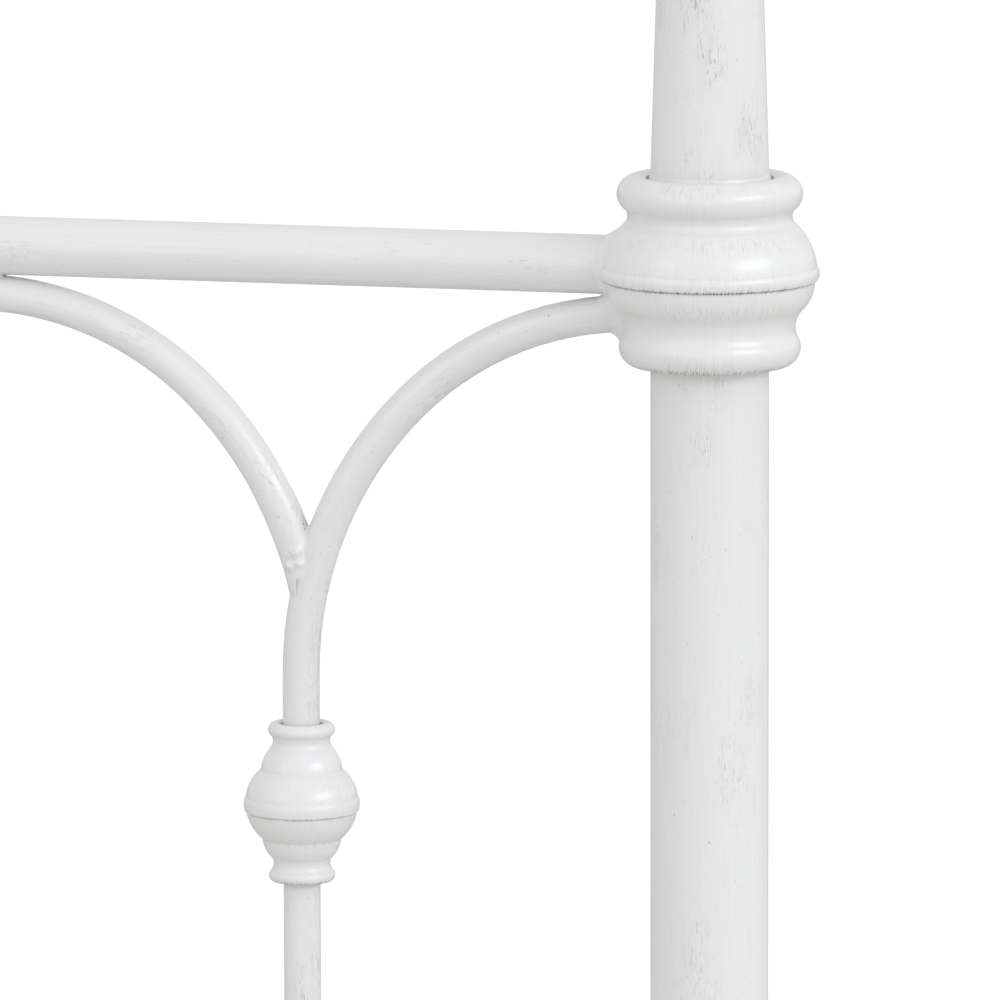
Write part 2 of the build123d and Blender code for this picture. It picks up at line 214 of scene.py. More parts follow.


# The brush lines lie along Z of the vector that the group is given, in metres. Wear rubs the paint through
# in clusters of fine dashes, and the glaze input is where the brown wash was left to stand and also where
# shade
# is painted: in grooves, corners and clefts and on the undersides of bends.
paint_group, given, end = new_group(
    "distressed_paint",
    [("Lines", "Vector", (0, 0, 0)), ("Wear", "Float", 1.0), ("Glaze_and_shade", "Float", 0.0)],
    [("Colour", "Color"), ("Roughness", "Float"), ("Height", "Float")])
tree = paint_group
wear, glaze_and_shade = given["Wear"], given["Glaze_and_shade"]
sway = node(tree, "ShaderNodeTexNoise", {"Vector": scaled(tree, given["Lines"], (50, 50, 70)), "Scale": 1.0})
lines = node(tree, "ShaderNodeVectorMath", {
    0: sway.outputs["Color"], 1: (0.003, 0.003, 0.0), 2: given["Lines"]}, operation="MULTIPLY_ADD").outputs[0]
clusters = step(tree, noise(tree, scaled(tree, lines, (48, 48, 22)), 3.0), 0.50, 0.68)
patches = step(tree, noise(tree, scaled(tree, lines, (34, 34, 34), (6, 3, 1)), 2.0), 0.40, 0.62)
haze = step(tree, noise(tree, scaled(tree, lines, (90, 90, 20), (3, 1, 7)), 4.0), 0.45, 0.75)
short_dashes = step(tree, noise(tree, scaled(tree, lines, (2600, 2600, 210), (5, 9, 2)), 1.0), 0.62, 0.70)
long_dashes = step(tree, noise(tree, scaled(tree, lines, (2300, 2300, 75), (11, 4, 8)), 1.0), 0.64, 0.71)
pits = step(tree, noise(tree, scaled(tree, lines, (900, 900, 640), (2, 6, 3)), 0.0), 0.845, 0.875)
brushing = noise(tree, scaled(tree, lines, (850, 850, 24), (8, 2, 5)), 3.0)
tone = noise(tree, scaled(tree, lines, (15, 15, 5), (1, 7, 4)), 3.0)

dashes = maths(tree, "MULTIPLY", maths(tree, "MAXIMUM", short_dashes, long_dashes), clusters)
rubbed = maths(tree, "MULTIPLY", maths(tree, "MAXIMUM", dashes, pits), wear, clamp=True)
bristles = step(tree, noise(tree, scaled(tree, lines, (1800, 1800, 210), (7, 2, 9)), 1.5), 0.48, 0.62)
# Where the glaze input is high these lay tan strokes and standing brown, which are glaze and also painted
# shade.
glaze_and_shade_strokes = maths(tree, "MULTIPLY", maths(tree, "MULTIPLY", glaze_and_shade, bristles),
                maths(tree, "MULTIPLY_ADD", patches, 0.75, 0.25), clamp=True)
standing_glaze_and_shade = maths(tree, "MULTIPLY", step(tree, glaze_and_shade, 0.6, 0.95),
                 maths(tree, "ADD", bristles, 0.10), clamp=True)
colour = blended(tree, maths(tree, "MULTIPLY", tone, 0.9, clamp=True), PAINT_LIGHT, PAINT_DULL)
colour = blended(tree, maths(tree, "MULTIPLY", step(tree, brushing, 0.35, 0.75), 0.07), colour, TAN_GLAZE_AND_SHADE)
spot = maths(tree, "MULTIPLY", maths(tree, "MULTIPLY", haze, clusters), wear)
colour = blended(tree, maths(tree, "MULTIPLY", spot, 0.16), colour, TAN_GLAZE_AND_SHADE)
colour = blended(tree, maths(tree, "MULTIPLY", glaze_and_shade_strokes, 0.65), colour, TAN_GLAZE_AND_SHADE)
colour = blended(tree, maths(tree, "MULTIPLY", standing_glaze_and_shade, 0.75), colour, BROWN_GLAZE_AND_SHADE)
colour = blended(tree, maths(tree, "MULTIPLY", rubbed, 0.42), colour, BROWN_GLAZE_AND_SHADE)
bare = maths(tree, "MULTIPLY", maths(tree, "MAXIMUM", rubbed, glaze_and_shade), 0.22)
roughness = maths(tree, "ADD", maths(tree, "MULTIPLY_ADD", tone, 0.10, 0.24), bare)
scored = maths(tree, "MAXIMUM", rubbed, maths(tree, "MULTIPLY", glaze_and_shade_strokes, 0.30))
height = maths(tree, "SUBTRACT", maths(tree, "MULTIPLY", brushing, 0.30), scored)
finish_group(tree, end, {"Colour": colour, "Roughness": roughness, "Height": height})


def paint_over(name, lines_of, wear=1.0, glaze_and_shade_of=None, lacquer=0.0, relief=0.40):
    """A paint material: lines_of and glaze_and_shade_of build the brush lines and the mask of glazing and
    painted shade in its tree.
    """
    material, tree, shader = new_material(name)
    place = object_place(tree)
    glaze_and_shade = glaze_and_shade_of(tree, place) if glaze_and_shade_of else 0.0
    paint = placed_group(tree, paint_group, {"Lines": lines_of(tree, place), "Wear": wear, "Glaze_and_shade": glaze_and_shade})
    bump = node(tree, "ShaderNodeBump", {"Height": paint["Height"], "Strength": relief, "Distance": 0.00015})
    for socket, value in (
            ("Base Color", paint["Colour"]), ("Roughness", paint["Roughness"]), ("Normal", bump.outputs[0])):
        tree.links.new(value, shader.inputs[socket])
    shader.inputs["Coat Weight"].default_value = lacquer
    shader.inputs["Coat Roughness"].default_value = 0.20
    return material


def set_material(name, material):
    """Every slot of a CAD node or a new piece takes the material."""
    mesh = (NODES[name] if isinstance(name, str) else name).data
    mesh.materials.clear()
    mesh.materials.append(material)


def turned_axes(tree, place, order):
    """The place with its axes in another order, so that the tube's own axis comes last."""
    split = node(tree, "ShaderNodeSeparateXYZ", {0: place}).outputs
    turned = {index: split[axis] for index, axis in enumerate(order)}
    return node(tree, "ShaderNodeCombineXYZ", turned).outputs[0]


def upright_lines(tree, place):
    return place


def ring_glaze_and_shade(height, amount):
    """Glazing and painted shade in a ring round an upright piece, strongest at a height, gone RING_REACH
    away.
    """
    def build(tree, place):
        up = node(tree, "ShaderNodeSeparateXYZ", {0: place}).outputs["Z"]
        away = maths(tree, "ABSOLUTE", maths(tree, "SUBTRACT", up, height))
        return maths(tree, "MULTIPLY_ADD", step(tree, away, 0.0, RING_REACH), -amount, amount)
    return build


# On the posts the rings are glaze and painted shade: in the corner above the collar's rim, and the painted
# shadow of the collar just below its lip.
RIM_HEIGHT, LIP_DEPTH, RING_REACH = 0.0365, 0.0425, 0.0035
for panel in ("head", "foot"):
    rail_z = middle(f"top_rail_{panel}").z
    upper = paint_over(f"upper_post_paint_{panel}", upright_lines, 1.3, ring_glaze_and_shade(rail_z + RIM_HEIGHT, 0.9))
    lower = paint_over(f"lower_post_paint_{panel}", upright_lines, 0.8, ring_glaze_and_shade(rail_z - LIP_DEPTH, 0.5))
    for side in ("left", "right"):
        set_material(f"upper_post_{panel}_{side}", upper)
        set_material(f"lower_post_{panel}_{side}", lower)


# ---- Rails, spindles, canes and arches ----------------------------------------------------------------
# Round steel tube: rails 25.4 across, the rest 16. Canes and arches are bent cold to one curve. The brush
# follows their bend, and leaves some glaze along its inside, which is painted shade as well: it darkens the
# side that faces into the bend, under each crown.

BEND_RADIUS = 0.150
CROWN_TO_CENTRE = 0.1665
CANE_CROWN_FROM_POST = 0.0312


def rail_lines(tree, place):
    return turned_axes(tree, place, "YZX")


def bend_lines(centre):
    """Brush lines of a tube bent about a centre in the panel's plane, upright below the bend's level."""
    def build(tree, place):
        split = node(tree, "ShaderNodeSeparateXYZ", {0: place}).outputs
        across = maths(tree, "SUBTRACT", split["X"], centre.x)
        above = maths(tree, "SUBTRACT", split["Z"], centre.z)
        rise, drop = maths(tree, "MAXIMUM", above, 0.0), maths(tree, "MINIMUM", above, 0.0)
        spoke = node(tree, "ShaderNodeCombineXYZ", {0: across, 1: rise}).outputs[0]
        radius = node(tree, "ShaderNodeVectorMath", {0: spoke}, operation="LENGTH").outputs["Value"]
        turn = maths(tree, "MULTIPLY", maths(tree, "ARCTAN2", rise, across), BEND_RADIUS)
        return node(tree, "ShaderNodeCombineXYZ", {
            0: radius, 1: split["Y"], 2: maths(tree, "ADD", turn, drop)}).outputs[0]
    return build


def inner_glaze_and_shade(centre):
    """Brown glazing along the inside of a bend, where the brush runs dry, and painted shade on that side,
    under the crown.
    """
    def build(tree, place):
        split = node(tree, "ShaderNodeSeparateXYZ", {0: place}).outputs
        inwards = node(tree, "ShaderNodeCombineXYZ", {
            0: maths(tree, "SUBTRACT", centre.x, split["X"]),
            2: maths(tree, "MINIMUM", maths(tree, "SUBTRACT", centre.z, split["Z"]), 0.0)}).outputs[0]
        inwards = node(tree, "ShaderNodeVectorMath", {0: inwards}, operation="NORMALIZE").outputs[0]
        surface = node(tree, "ShaderNodeNewGeometry").outputs["Normal"]
        facing = node(tree, "ShaderNodeVectorMath", {0: inwards, 1: surface}, operation="DOT_PRODUCT")
        return maths(tree, "MULTIPLY", step(tree, facing.outputs["Value"], 0.30, 0.80), 0.62)
    return build


rail_paint = paint_over("rail_paint", rail_lines, 0.8, lacquer=0.6)
spindle_paint = paint_over("spindle_paint", upright_lines, 1.1, lacquer=0.3)
for panel in ("head", "foot"):
    rail_z = middle(f"top_rail_{panel}").z
    set_material(f"top_rail_{panel}", rail_paint)
    set_material(f"bottom_rail_{panel}", rail_paint)
    for index in (1, 2, 3):
        set_material(f"spindle_{panel}_{index}", spindle_paint)
    bend_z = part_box(f"arch_{panel}_1")[1].z - CROWN_TO_CENTRE
    for side, way in (("left", -1), ("right", 1)):
        name = f"cane_{panel}_{side}"
        post_x = middle(f"lower_post_{panel}_{side}").x
        centre = Vector((post_x - way * CANE_CROWN_FROM_POST, 0, bend_z))
        set_material(name, paint_over(name + "_paint", bend_lines(centre), 1.0, inner_glaze_and_shade(centre), 0.6))
    for index in (1, 2, 3, 4):
        name = f"arch_{panel}_{index}"
        centre = Vector((middle(name).x, 0, bend_z))
        set_material(name, paint_over(name + "_paint", bend_lines(centre), 1.0, inner_glaze_and_shade(centre), 0.6))


# ---- Collars, knots and finials -----------------------------------------------------------------------
# Cast and turned: the paint is thick and smooth on the rounds, and brown glaze stays in each groove, under
# each band and along the rims, wiped upwards in short strokes. The same bands are painted shade too, darkest
# in the grooves and under the lips, where shade falls.

def casting_glaze_and_shade(bands, base, top):
    """Glazing and painted shade by height, from base to top: bands are (height, amount), with even changes
    between them.
    """
    def build(tree, place):
        up = node(tree, "ShaderNodeSeparateXYZ", {0: place}).outputs["Z"]
        level = maths(tree, "DIVIDE", maths(tree, "SUBTRACT", up, base), top - base)
        ramp = node(tree, "ShaderNodeValToRGB", {0: level})
        stops = ramp.color_ramp.elements
        stops[0].position, stops[1].position = 0.0, 1.0
        for stop in stops:
            stop.color = (0, 0, 0, 1)
        for position, amount in bands:
            stop = stops.new((position - base) / (top - base))
            stop.color = (amount, amount, amount, 1)
        return ramp.outputs[0]
    return build


# Heights and amounts of glazing and painted shade, from the rail's level, the knot's groove and the upper
# post's top.
COLLAR_BANDS = (
    (-0.0420, 0.95), (-0.0405, 0.80), (-0.0375, 0.45), (-0.0345, 0.05), (-0.0270, 0.00), (-0.0200, 0.10),
    (-0.0165, 0.45), (-0.0135, 0.50), (-0.0110, 0.10), (-0.0070, 0.05), (-0.0060, 0.50), (-0.0052, 1.00),
    (-0.0044, 0.70), (-0.0030, 0.20), (-0.0010, 0.10), (0.0004, 0.25), (0.0008, 0.55), (0.0018, 0.10),
    (0.0080, 0.02), (0.0115, 0.30), (0.0140, 0.55), (0.0168, 0.25), (0.0195, 0.02), (0.0275, 0.05),
    (0.0330, 0.05), (0.0355, 0.40), (0.0372, 0.50), (0.0386, 0.30))
KNOT_BANDS = (
    (-0.0303, 0.95), (-0.0285, 0.55), (-0.0260, 0.10), (-0.0215, 0.05), (-0.0150, 0.08), (-0.0122, 0.45),
    (-0.0095, 0.05), (-0.0040, 0.02), (-0.0008, 0.15), (0.0001, 0.80), (0.0010, 0.20), (0.0045, 0.05),
    (0.0064, 0.30), (0.0080, 0.02), (0.0135, 0.20), (0.0184, 0.20), (0.0200, 0.05), (0.0300, 0.10),
    (0.0328, 0.30), (0.0350, 0.05), (0.0384, 0.60))
FINIAL_BANDS = (
    (0.0000, 0.90), (0.0020, 0.20), (0.0060, 0.15), (0.0078, 0.80), (0.0100, 0.15), (0.0178, 0.60),
    (0.0195, 0.10), (0.0232, 0.80), (0.0260, 0.15), (0.0450, 0.00), (0.0694, 0.80), (0.0712, 0.10))
COLLAR_GIRTH, FINIAL_GIRTH, KNOT_GIRTH, KNOT_DROP = 0.040, 0.028, 0.020, 0.0304


def turned_lines(axis, pitch, girth):
    """Brush lines up a turned piece, its place carried straight out to one girth. Pieces of its kind stand
    in a row, a pitch apart."""
    def build(tree, place):
        split = node(tree, "ShaderNodeSeparateXYZ", {0: place}).outputs
        away = maths(tree, "WRAP", maths(tree, "SUBTRACT", split["X"], axis.x), pitch / 2, -pitch / 2)
        depth = maths(tree, "SUBTRACT", split["Y"], axis.y)
        outwards = node(tree, "ShaderNodeCombineXYZ", {0: away, 1: depth}).outputs[0]
        outwards = node(tree, "ShaderNodeVectorMath", {0: outwards}, operation="NORMALIZE")
        own_axis = node(tree, "ShaderNodeCombineXYZ", {
            0: maths(tree, "SUBTRACT", split["X"], away), 1: axis.y, 2: split["Z"]})
        return node(tree, "ShaderNodeVectorMath", {
            0: outwards.outputs[0], 1: (girth, girth, girth), 2: own_axis.outputs[0]},
            operation="MULTIPLY_ADD").outputs[0]
    return build


def casting_paint(name, bands, axis, pitch, girth, level, below, above):
    raised = [(level + height, amount) for height, amount in bands]
    glaze_and_shade = casting_glaze_and_shade(raised, level - below, level + above)
    return paint_over(name, turned_lines(axis, pitch, girth), 0.10, glaze_and_shade, lacquer=0.5, relief=0.14)


for panel in ("head", "foot"):
    rail_z = middle(f"top_rail_{panel}").z
    finial_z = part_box(f"upper_post_{panel}_left")[1].z
    knot_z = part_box(f"knot_{panel}_1")[0].z + KNOT_DROP
    post, knot = middle(f"collar_{panel}_right"), middle(f"knot_{panel}_3")
    collar_paint = casting_paint(
        f"collar_paint_{panel}", COLLAR_BANDS, post, 2 * post.x, COLLAR_GIRTH, rail_z, 0.045, 0.045)
    finial_paint = casting_paint(
        f"finial_paint_{panel}", FINIAL_BANDS, post, 2 * post.x, FINIAL_GIRTH, finial_z, 0.02, 0.08)
    knot_pitch = middle(f"knot_{panel}_4").x - knot.x
    knot_paint = casting_paint(
        f"knot_paint_{panel}", KNOT_BANDS, knot, knot_pitch, KNOT_GIRTH, knot_z, 0.035, 0.043)
    for side in ("left", "right"):
        set_material(f"collar_{panel}_{side}", collar_paint)
        set_material(f"finial_{panel}_{side}", finial_paint)
    for index in (1, 2, 3, 4, 5):
        set_material(f"knot_{panel}_{index}", knot_paint)


# ---- Welds and fillets ----------------------------------------------------------------------------------
# Each joint of a panel is run round with weld, filed back and painted over: small beads where a tube lands
# on a rail, post or collar, and a dressed lump of weld where the legs of two arches meet a spindle. Brown
# glaze with painted shade lies along the beads' edges, in the lumps' inside corners and on the tacks at the
# crowns.

LEG_BEND, CROWN_BEND = 0.170, 0.142
LEG_CENTRE_OUT = (LEG_BEND - CROWN_BEND) * 0.5 ** 0.5
LEG_CENTRE_DROP = CROWN_BEND + LEG_CENTRE_OUT
ROD_R, RAIL_TUBE_R, POST_TUBE_R = 0.008, 0.0127, 0.0254
TACK_R, TACK_REACH = 0.0029, 0.0108
TOE_DROP, VEE_TOP_DROP, VEE_BOTTOM_DROP = 0.140, 0.102, 0.166
GRAIN, SOFTENING, HOLLOW_DEPTH, SPARE_LENGTH = 0.00062, 15, 0.0004, 0.012
# The reach and strength of the painted shadow on a leg's side across the gap from the next tube.
CLEFT_WIDTH, CLEFT_TURN, CLEFT_SHADOW_STRENGTH = 0.016, 0.20, 1.7
BEAD_TURNS, BEAD_ROWS, EDGE_SHADE_AND_GLAZE, JOINT_SWELL = 64, 6, 0.55, 0.04
FROM_POST, FROM_RIM, FROM_LOW_RAIL, CANE_FALL, CANE_RISE = 0.075, 0.06, 0.05, 0.0035, 0.095


def weld_shade_and_glaze(tree, place):
    """Brown glazing and painted shade in the weld's hollows, which the mesh carries as a value for each
    vertex.
    """
    shade_and_glaze = node(tree, "ShaderNodeAttribute", attribute_name="shade_and_glaze").outputs["Fac"]
    patches = step(tree, noise(tree, scaled(tree, place, (260, 260, 260)), 2.0), 0.42, 0.62)
    return maths(tree, "MULTIPLY", shade_and_glaze, maths(tree, "MULTIPLY_ADD", patches, 0.5, 0.55))


def mark_shade_and_glaze(piece, values):
    """Stores the amount of glazing and painted shade at each vertex, from 0 to 1."""
    layer = piece.data.attributes.new("shade_and_glaze", "FLOAT", "POINT")
    layer.data.foreach_set("value", values)


def mesh_piece(name, points, faces):
    data = bpy.data.meshes.new(name)
    data.from_pydata(points, [], faces)
    made = bpy.data.objects.new(name, data)
    bpy.context.scene.collection.objects.link(made)
    return made


def bead(name, target, start, along, tube_r, run, climb, phase=0.0, full=0.08):
    """Weld bead round a tube where it lands on a CAD node, found by going along the tube from the start, a
    point on its axis. Run is the bead's reach back along the tube, and climb its reach out over the node.
    Both swell and thin a little on the way round; full is how far it bellies out from the corner, 0.5 being
    flat across."""
    surface = BVHTree.FromPolygons(
        [vertex.co for vertex in NODES[target].data.vertices],
        [face.vertices for face in NODES[target].data.polygons])
    along = Vector(along).normalized()
    first = along.orthogonal().normalized()
    second = along.cross(first)

    def landing(radial, reach):
        hit = surface.ray_cast(Vector(start) + radial * reach, along)[0]
        return hit if hit else Vector(start) + radial * reach + along * 0.02

    points, faces = [], []
    for turn in range(BEAD_TURNS):
        angle = 2 * math.pi * turn / BEAD_TURNS
        radial = first * math.cos(angle) + second * math.sin(angle)
        swell = 1 + 0.10 * math.sin(3 * angle + phase) + 0.05 * math.sin(8 * angle + 2 * phase)
        corner = landing(radial, tube_r - 0.0001)
        heel = corner - along * run * swell - radial * 0.0001
        toe = landing(radial, tube_r + climb * swell) + along * 0.00015
        belly = corner + (radial * climb - along * run) * full * swell
        for row in range(BEAD_ROWS + 1):
            t = row / BEAD_ROWS
            points.append(heel * (1 - t) ** 2 + belly * 2 * t * (1 - t) + toe * t ** 2)
        points.append(corner + along * 0.0004 - radial * 0.0004)
    rows = BEAD_ROWS + 2
    for turn in range(BEAD_TURNS):
        for row in range(rows):
            here, ahead = turn * rows, (turn + 1) % BEAD_TURNS * rows
            faces.append((here + row, here + (row + 1) % rows, ahead + (row + 1) % rows, ahead + row))
    made = mesh_piece(name, points, faces)
    # Glazing and painted shade along both edges of the bead, where it meets the tube and the node.
    edges = [abs(2 * min(row, BEAD_ROWS) / BEAD_ROWS - 1) ** 3 for row in range(rows)]
    mark_shade_and_glaze(made, [EDGE_SHADE_AND_GLAZE * edge for edge in edges] * BEAD_TURNS)
    return made


def rod_along(points, radius, swell=0.0):
    """A capped rod along points, thicker by the swell, a part of one, in its middle."""
    path = bpy.data.curves.new("rod", "CURVE")
    path.dimensions, path.bevel_depth, path.bevel_resolution, path.use_fill_caps = "3D", radius, 12, True
    spline = path.splines.new("POLY")
    spline.points.add(len(points) - 1)
    for index, point in enumerate(points):
        spline.points[index].co = (*point, 1)
        spline.points[index].radius = 1 + swell * math.sin(math.pi * index / (len(points) - 1))
    made = bpy.data.objects.new("rod", path)
    bpy.context.scene.collection.objects.link(made)
    return made


def as_one(name, pieces):
    """Joins pieces into one mesh object with that name."""
    bpy.ops.object.select_all(action="DESELECT")
    for piece in pieces:
        piece.select_set(True)
    bpy.context.view_layer.objects.active = pieces[0]
    bpy.ops.object.convert(target="MESH")
    bpy.ops.object.join()
    made = bpy.context.object
    made.name = made.data.name = name
    return made


def leg_points(centre_x, side):
    """Centre line of the end of an arch's leg in the head panel, from just above the vee to its toe."""
    centre = Vector((centre_x - side * LEG_CENTRE_OUT, panel_y, spring_z))
    highest = math.asin((over - centre.z) / LEG_BEND)
    lowest = math.asin((rail_z - TOE_DROP - centre.z) / LEG_BEND)
    angles = [highest + (lowest - highest) * index / 16 for index in range(17)]
    return [centre + Vector((side * math.cos(a), 0, math.sin(a))) * LEG_BEND for a in angles]


def line_tree(points):
    """Closely spaced points of a line, ready to be searched."""
    spaced = [a.lerp(b, index / 24) for a, b in zip(points, points[1:]) for index in range(24)]
    tree = KDTree(len(spaced))
    for index, point in enumerate(spaced):
        tree.insert(point, index)
    tree.balance()
    return tree


def cleft_and_toe_shade(place, normal, lines, toe_shade_spots):
    """Painted shadow on a leg's side that faces the next tube, and painted shade at the toe's spots, from 0
    up.
    """
    found = [line.find(place) for line in lines]
    order = sorted(range(len(lines)), key=lambda index: found[index][2])
    across, _, distance = found[order[1]]
    facing = (across - place).normalized().dot(normal)
    nearness = max(1 - (distance - ROD_R) / CLEFT_WIDTH, 0)
    # Painted shadow: the next tube keeps the light off the side of the leg that faces it.
    cleft_shadow = nearness * max(facing + CLEFT_TURN, 0) * CLEFT_SHADOW_STRENGTH if order[0] else 0
    return max([cleft_shadow] + [2 - 2 * (place - spot).length / reach for spot, reach in toe_shade_spots])


def dressed_joint(name, rods, lumps, toe_shade_spots, bottom, top):
    """The rods and lumps run together, softened so that every inside corner fills, and cut to a height. The
    first rod is the cane or spindle, the others are the legs that land on it."""
    pieces = [rod_along(points, ROD_R, JOINT_SWELL if index else 0) for index, points in enumerate(rods)]
    for place, radius in lumps:
        bpy.ops.mesh.primitive_ico_sphere_add(subdivisions=3, radius=radius, location=place)
        pieces.append(bpy.context.object)
    made = as_one(name, pieces)
    run_together = made.modifiers.new("run_together", "REMESH")
    run_together.mode, run_together.voxel_size = "VOXEL", GRAIN
    soften = made.modifiers.new("soften", "SMOOTH")
    soften.factor, soften.iterations = 0.5, SOFTENING
    bpy.ops.object.modifier_apply(modifier="run_together")
    before = [vertex.co.copy() for vertex in made.data.vertices]
    bpy.ops.object.modifier_apply(modifier="soften")
    lines = [line_tree(points) for points in rods]
    # Glazing and painted shade for each vertex: most where the softening filled an inside corner, with the
    # painted shadow in the clefts and the painted shade at the toe.
    mark_shade_and_glaze(made, [
        min(max((vertex.co - old).dot(vertex.normal) / HOLLOW_DEPTH,
                cleft_and_toe_shade(vertex.co, vertex.normal, lines, toe_shade_spots), 0.0), 1.0)
        for vertex, old in zip(made.data.vertices, before)])
    bpy.ops.object.mode_set(mode="EDIT")
    for height, facing in ((bottom, -1), (top, 1)):
        bpy.ops.mesh.select_all(action="SELECT")
        bpy.ops.mesh.bisect(plane_co=(0, 0, height), plane_no=(0, 0, facing), use_fill=True, clear_outer=True)
    bpy.ops.object.mode_set(mode="OBJECT")
    return made


def copied(piece, shift, mirrored=False):
    """A copy with its own mesh, moved by the shift, and mirrored across the bed's middle if asked."""
    made = bpy.data.objects.new(piece.name, piece.data.copy())
    bpy.context.scene.collection.objects.link(made)
    made.data.transform(Matrix.Translation(shift))
    if mirrored:
        made.data.transform(Matrix.Scale(-1, 4, (1, 0, 0)))
        made.data.flip_normals()
    return made


weld_paint = paint_over("weld_paint", upright_lines, 0.5, weld_shade_and_glaze, 0.35)
pitch = middle("spindle_head_3").x - middle("spindle_head_2").x
foot_x = middle("knot_head_5").x
panel_y = middle("top_rail_head").y
rail_z = middle("top_rail_head").z
over = rail_z - VEE_TOP_DROP + SPARE_LENGTH
under = rail_z - VEE_BOTTOM_DROP - SPARE_LENGTH
spring_z = rail_z - RAIL_TUBE_R - ROD_R - LEG_CENTRE_DROP
cane_line = [Vector((foot_x, panel_y, under))] + [
    Vector((foot_x + LEG_BEND * (1 - math.cos(a)), panel_y, spring_z + LEG_BEND * math.sin(a)))
    for a in [math.asin((over - spring_z) / LEG_BEND) * index / 16 for index in range(17)]]
last_leg = leg_points(foot_x - pitch / 2, 1)
toe_edge = last_leg[-1] - Vector((ROD_R - 0.0008, 0.001, 0))
cane_joint = dressed_joint(
    "cane_joint", [cane_line, last_leg],
    [(toe_edge + Vector((0.0016, 0, 0.0010)), 0.0026), (toe_edge + Vector((0.0012, 0.0004, 0.0062)), 0.0024),
     ((foot_x - 0.0005, panel_y - 0.0066, rail_z - 0.1285), 0.0030),
     ((foot_x + 0.0012, panel_y - 0.0068, rail_z - 0.1335), 0.0024),
     ((foot_x - 0.0030, panel_y - 0.0070, rail_z - 0.1345), 0.0022),
     ((foot_x, panel_y + 0.0066, rail_z - 0.1310), 0.0030),
     ((foot_x + 0.0010, panel_y + 0.0068, rail_z - 0.1250), 0.0024)],
    # Spots of painted shade in the notch at the toe.
    [(toe_edge - Vector((0, 0, 0.0030)), 0.0022), (toe_edge + Vector((0.0004, 0, 0.0020)), 0.0016),
     (toe_edge + Vector((-0.0016, 0, 0.0075)), 0.0017)],
    rail_z - VEE_BOTTOM_DROP, rail_z - VEE_TOP_DROP)
spindle_x = middle("spindle_head_3").x
spindle_line = [Vector((spindle_x, panel_y, height)) for height in (under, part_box("spindle_head_3")[1].z)]
spindle_joint = dressed_joint(
    "spindle_joint",
    [spindle_line, leg_points(spindle_x - pitch / 2, 1), leg_points(spindle_x + pitch / 2, -1)],
    [((spindle_x - 0.0015, panel_y - 0.0064, rail_z - 0.1190), 0.0028),
     ((spindle_x + 0.0018, panel_y - 0.0066, rail_z - 0.1240), 0.0026),
     ((spindle_x, panel_y + 0.0065, rail_z - 0.1220), 0.0030)], [],
    rail_z - VEE_BOTTOM_DROP, rail_z - VEE_TOP_DROP)

for panel in ("head", "foot"):
    rail = middle(f"top_rail_{panel}")
    low_rail = middle(f"bottom_rail_{panel}")
    shift = Vector((0, rail.y - panel_y, rail.z - rail_z))
    pieces = [copied(cane_joint, shift), copied(cane_joint, shift, mirrored=True)]
    pieces += [copied(spindle_joint, shift + Vector(((index - 3) * pitch, 0, 0))) for index in (1, 2, 3)]
    cane_z = rail.z - RAIL_TUBE_R - ROD_R - CANE_FALL
    for side, way in (("left", -1), ("right", 1)):
        post_x = middle(f"lower_post_{panel}_{side}").x
        collar, post = f"collar_{panel}_{side}", f"lower_post_{panel}_{side}"
        on_rail, on_cane, on_low_rail = [
            Vector((post_x - way * FROM_POST, rail.y, height)) for height in (rail.z, cane_z, low_rail.z)]
        above_rim = (post_x, rail.y, rail.z + FROM_RIM)
        pieces += [
            bead("rail_bead", collar, on_rail, (way, 0, 0), RAIL_TUBE_R, 0.0040, 0.0040, way, 0.36),
            bead("cane_bead", collar, on_cane, (way, 0, CANE_RISE), ROD_R, 0.0064, 0.0050, 2 * way, 0.34),
            bead("low_rail_bead", post, on_low_rail, (way, 0, 0), RAIL_TUBE_R, 0.0028, 0.0028, 3 * way),
            bead("rim_bead", collar, above_rim, (0, 0, -1), POST_TUBE_R, 0.0011, 0.0014, 4 * way)]
    for index in (1, 2, 3, 4):
        crown = Vector((middle(f"arch_{panel}_{index}").x, rail.y, rail.z - RAIL_TUBE_R))
        tack_line = [crown + Vector((TACK_REACH * part / 9, 0, 0)) for part in range(-9, 10)]
        tack = as_one("tack", [rod_along(tack_line, TACK_R)])
        # The tack under the rail at each arch's crown takes full glazing and painted shade, in the corner
        # between them.
        mark_shade_and_glaze(tack, [1.0] * len(tack.data.vertices))
        pieces.append(tack)
    for index in (1, 2, 3, 4, 5):
        above_rail = (middle(f"knot_{panel}_{index}").x, rail.y, low_rail.z + FROM_LOW_RAIL)
        pieces.append(bead(
            "spindle_bead", f"bottom_rail_{panel}", above_rail, (0, 0, -1), ROD_R, 0.0024, 0.0018, index))
    welds = as_one(f"welds_{panel}", pieces)
    bpy.ops.object.mode_set(mode="EDIT")
    bpy.ops.mesh.select_all(action="SELECT")
    bpy.ops.mesh.normals_make_consistent(inside=False)
    bpy.ops.object.mode_set(mode="OBJECT")
    bpy.ops.object.shade_smooth_by_angle(angle=math.radians(60))
    set_material(welds, weld_paint)
    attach(welds, "frame")
for template in (cane_joint, spindle_joint):
    bpy.data.objects.remove(template)


# ---- Side rails, brackets, slats, beam and legs ---------------------------------------------------------
# Side rails of rolled steel angle, brackets of flat bar welded to the posts, slats and beam of box section,
# legs of round tube. All are powder coated: an orange-peel skin, dulled and scuffed a little.

COAT_LIGHT, COAT_DULL, SCUFF = (0.79, 0.79, 0.78, 1), (0.73, 0.73, 0.715, 1), (0.42, 0.40, 0.37, 1)


